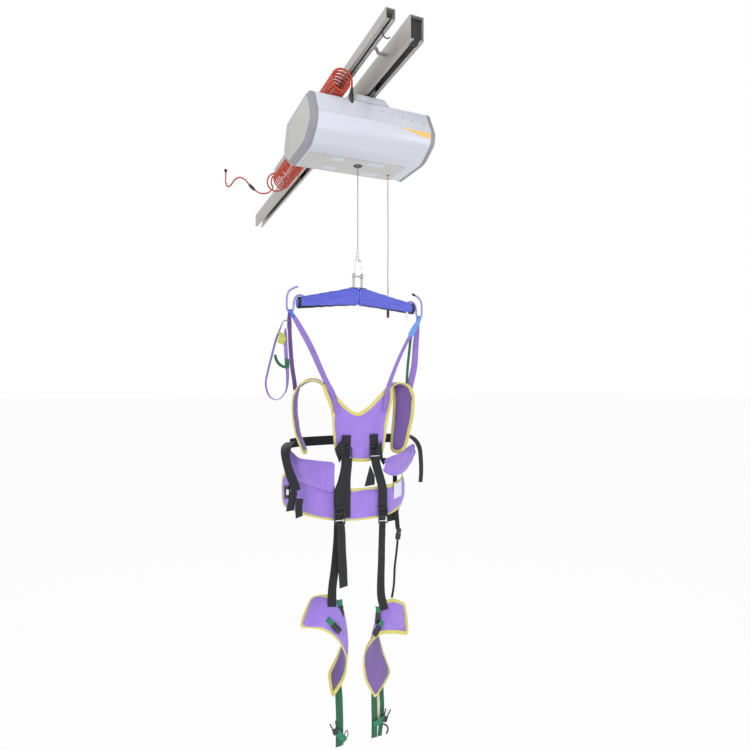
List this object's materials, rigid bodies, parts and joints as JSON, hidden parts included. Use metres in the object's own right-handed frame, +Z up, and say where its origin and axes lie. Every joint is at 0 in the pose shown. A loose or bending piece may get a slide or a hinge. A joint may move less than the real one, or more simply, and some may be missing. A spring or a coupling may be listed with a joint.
{
  "type": "sling therapy frame",
  "caption": "Electric ceiling-rail walking hoist: a trolley hoist on a rail lowers a padded spreader bar that carries a walking harness with thigh cuffs.",
  "frame": {"origin": "on the main rail's ceiling face, straight above the lifting rope", "axes": "+Z up, +Y along the rail away from the viewer, +X along the hoist and the spreader bar to the right"},
  "size_m": [0.6707, 2.31, 2.613],
  "materials": {
    "rail_aluminium": "satin",
    "steel": "satin",
    "dark_plastic": "matte",
    "casing": "satin",
    "end_face": "satin",
    "coil_jacket": "satin",
    "rope_white": "matte",
    "blue_cover": "matte",
    "hook_rod": "satin",
    "purple": "matte",
    "black_webbing": "matte",
    "green_webbing": "matte",
    "red_plastic": "satin"
  },
  "bodies": {
    "track": {"main_rail": "rail_aluminium", "cable_rail": "rail_aluminium", "rail_bracket_near": "rail_aluminium", "rail_bracket_far": "rail_aluminium", "near_end_stop": "dark_plastic", "far_end_stop": "dark_plastic", "cable_hook": "dark_plastic", "supply_coil": "coil_jacket", "supply_tail": "coil_jacket", "cable_connector": "dark_plastic", "cable_end_fitting": "dark_plastic"},
    "near_glider": {"cable_glider_near": "dark_plastic"},
    "far_glider": {"cable_glider_far": "dark_plastic"},
    "trolley": {"trolley_frame": "steel", "upper_cover": "casing", "lower_cover": "casing", "hanger_cover": "casing", "end_cap_left": "end_face", "end_cap_right": "end_face", "chassis": "steel", "gear_motor": "steel", "control_box": "dark_plastic", "rope_bush": "dark_plastic", "pull_switch": "dark_plastic", "cable_gland": "dark_plastic", "cable_lead": "coil_jacket", "cable_coil_top": "coil_jacket"},
    "front_wheels": {"wheel_set_front": "dark_plastic"},
    "rear_wheels": {"wheel_set_rear": "dark_plastic"},
    "drum": {"rope_drum": "steel"},
    "pull": {"pull_cord": "dark_plastic", "pull_toggle": "red_plastic"},
    "rope_end": {"rope": "rope_white", "rope_ferrule": "steel"},
    "bail": {"shackle_bail": "steel"},
    "spreader": {"clevis_fork": "steel", "fork_pin": "steel", "spreader_bar": "steel", "sleeve_left": "blue_cover", "sleeve_right": "blue_cover", "hook_left": "hook_rod", "hook_right": "hook_rod"},
    "harness": {"vest_panel": "purple", "wing_left": "purple", "wing_right": "purple", "riser_left": "purple", "riser_right": "purple", "loop_strap": "purple", "hip_pad_left": "purple", "hip_pad_right": "purple", "waist_strap": "black_webbing", "pelvic_belt": "purple", "front_strap_left": "black_webbing", "front_strap_right": "black_webbing"},
    "left_leg": {"leg_strap_left": "black_webbing", "cuff_left": "purple", "green_strap_left": "green_webbing"},
    "right_leg": {"leg_strap_right": "black_webbing", "cuff_right": "purple", "green_strap_right": "green_webbing"}
  },
  "joints": [
    {"name": "trolley_travel", "type": "slide", "parent": "track", "child": "trolley", "axis": [0, 1, 0], "range_m": [-0.295, 0.42], "deforming": ["supply_coil"]},
    {"name": "front_wheel_spin", "type": "hinge", "parent": "trolley", "child": "front_wheels", "pos_m": [0, -0.13, -0.0617], "axis": [1, 0, 0], "continuous": true},
    {"name": "rear_wheel_spin", "type": "hinge", "parent": "trolley", "child": "rear_wheels", "pos_m": [0, 0.13, -0.0617], "axis": [1, 0, 0], "continuous": true},
    {"name": "near_glider_travel", "type": "slide", "parent": "track", "child": "near_glider", "axis": [0, 1, 0], "range_m": [-0.2, 0.285]},
    {"name": "far_glider_travel", "type": "slide", "parent": "track", "child": "far_glider", "axis": [0, 1, 0], "range_m": [-0.1, 0.142]},
    {"name": "pull_cord_travel", "type": "slide", "parent": "trolley", "child": "pull", "axis": [0, 0, -1], "range_m": [0, 0.008], "stiffness_N_per_m": 300},
    {"name": "lift", "type": "slide", "parent": "trolley", "child": "rope_end", "axis": [0, 0, 1], "range_m": [-0.45, 0.12], "deforming": ["rope"]},
    {"name": "drum_spin", "type": "hinge", "parent": "trolley", "child": "drum", "pos_m": [0, 0.0343, -0.2], "axis": [1, 0, 0], "range_deg": [-210, 765]},
    {"name": "swivel", "type": "hinge", "parent": "rope_end", "child": "bail", "pos_m": [0, 0, -0.6731], "axis": [0, 0, 1], "range_deg": [-120, 0]},
    {"name": "spreader_rock", "type": "hinge", "parent": "bail", "child": "spreader", "pos_m": [0, 0, -0.743], "axis": [1, 0, 0], "range_deg": [-5, 5]},
    {"name": "harness_swing", "type": "hinge", "parent": "spreader", "child": "harness", "pos_m": [0, 0, -0.8985], "axis": [1, 0, 0], "range_deg": [-12, 12]},
    {"name": "left_leg_swing", "type": "hinge", "parent": "harness", "child": "left_leg", "pos_m": [-0.104, -0.052, -1.7], "axis": [1, 0, 0], "range_deg": [-20, 20]},
    {"name": "right_leg_swing", "type": "hinge", "parent": "harness", "child": "right_leg", "pos_m": [0.082, -0.052, -1.7], "axis": [1, 0, 0], "range_deg": [-20, 20]}
  ],
  "couplings": [
    {"joint": "front_wheel_spin", "follows": "trolley_travel", "rad_per_m": -71.429},
    {"joint": "rear_wheel_spin", "follows": "trolley_travel", "rad_per_m": -71.429},
    {"joint": "near_glider_travel", "follows": "trolley_travel", "ratio": 0.66667},
    {"joint": "far_glider_travel", "follows": "trolley_travel", "ratio": 0.33333},
    {"joint": "drum_spin", "follows": "lift", "rad_per_m": -29.412}
  ]
}
